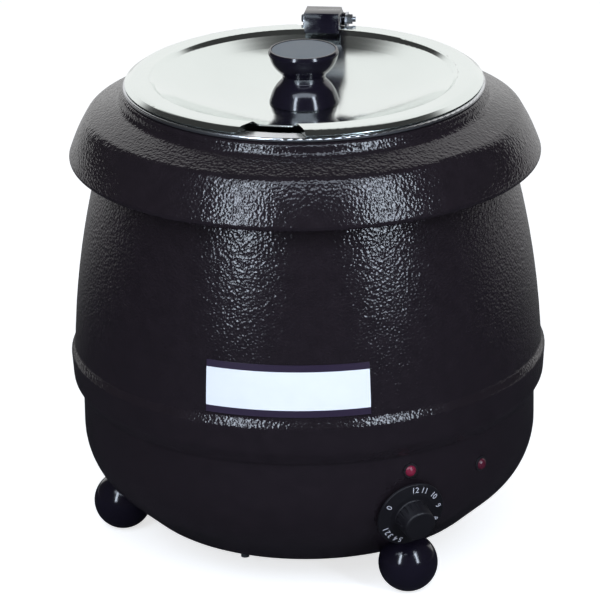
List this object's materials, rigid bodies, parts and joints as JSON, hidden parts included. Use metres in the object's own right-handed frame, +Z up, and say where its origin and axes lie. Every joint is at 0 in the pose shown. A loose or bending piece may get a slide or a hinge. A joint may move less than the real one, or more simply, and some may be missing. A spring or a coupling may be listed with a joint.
{
  "type": "soup kettle",
  "caption": "Countertop soup kettle: a black hammered shell on ball feet holds a heated water well, with a lift-out pot, a hinged dished lid, a thermostat dial and red lamps.",
  "frame": {"origin": "on the floor under the middle of the kettle's bounding box, which is its round axis", "axes": "+Z up along the kettle's axis, the front with the label faces -Y, the dial is towards +X"},
  "size_m": [0.3404, 0.3404, 0.3628],
  "materials": {
    "hammered_coat": "black hammered coat with a slight purple cast",
    "label_print": "printed label, blank white field and dark stripes",
    "polished_steel": "mirror-polished stainless sheet",
    "satin_steel": "satin stainless sheet",
    "gasket_rubber": "black silicone",
    "insulation_wool": "pale glass wool",
    "gloss_black": "moulded, glossy",
    "knob_disc_grey": "grey-blue inset",
    "dial_black": "moulded, with pale numbers",
    "plated_steel": "zinc-plated or stainless hardware",
    "heater_sheath": "heat-darkened tube",
    "spread_aluminium": "mill finish",
    "thermostat_case": "dark moulded case",
    "copper": "bare copper",
    "lens_red": "clear crimson lens",
    "lamp_case": "black moulded holder",
    "terminal_ceramic": "unglazed white block",
    "earth_brass": "bare brass",
    "gland_plastic": "black nylon"
  },
  "bodies": {
    "kettle": {"base_plate": "plated_steel", "base_plate_screws": "plated_steel", "bulb_clip": "plated_steel", "capillary_tube": "copper", "collar": "hammered_coat", "cord_gland": "gland_plastic", "earth_nut": "earth_brass", "earth_stud": "earth_brass", "foot_front": "gloss_black", "foot_left": "gloss_black", "foot_rear": "gloss_black", "foot_screws": "plated_steel", "gland_nut": "gland_plastic", "heat_shield": "plated_steel", "heater_clamp_plate": "spread_aluminium", "heater_nuts": "plated_steel", "heating_element": "heater_sheath", "heating_lamp_body": "lamp_case", "heating_lamp_lens": "lens_red", "insulation_jacket": "insulation_wool", "label_plate": "label_print", "lamp_nuts": "lamp_case", "lower_bowl": "hammered_coat", "power_lamp_body": "lamp_case", "power_lamp_lens": "lens_red", "shield_spacer": "plated_steel", "terminal_block": "terminal_ceramic", "terminal_screws": "plated_steel", "thermal_cutout": "thermostat_case", "thermostat_body": "thermostat_case", "thermostat_bulb": "copper", "thermostat_screws": "plated_steel", "tie_rod_nuts": "plated_steel", "tie_rods": "plated_steel", "upper_shell": "hammered_coat", "water_well": "satin_steel", "well_gasket": "gasket_rubber"},
    "pot": {"soup_pot": "satin_steel", "hinge_bracket": "plated_steel", "bracket_rivets": "plated_steel", "hinge_pin": "plated_steel", "hinge_pin_nut": "plated_steel"},
    "lid": {"lid": "polished_steel", "lid_knob": "gloss_black", "lid_knob_disc": "knob_disc_grey", "lid_knob_washer": "plated_steel", "lid_knob_screw": "plated_steel", "hinge_block": "gloss_black", "leaf_screws": "plated_steel"},
    "dial": {"control_knob": "dial_black", "thermostat_shaft": "plated_steel"}
  },
  "joints": [
    {"name": "pot_lift", "type": "slide", "parent": "kettle", "child": "pot", "axis": [0, 0, 1], "range_m": [0, 0.26]},
    {"name": "lid_hinge", "type": "hinge", "parent": "pot", "child": "lid", "pos_m": [0, 0.126, 0.3466], "axis": [-1, 0, 0], "range_deg": [0, 98]},
    {"name": "dial_turn", "type": "hinge", "parent": "kettle", "child": "dial", "pos_m": [0.08695, -0.1339, 0.06999], "axis": [0.5285, -0.8138, -0.2419], "range_deg": [0, 300]}
  ]
}
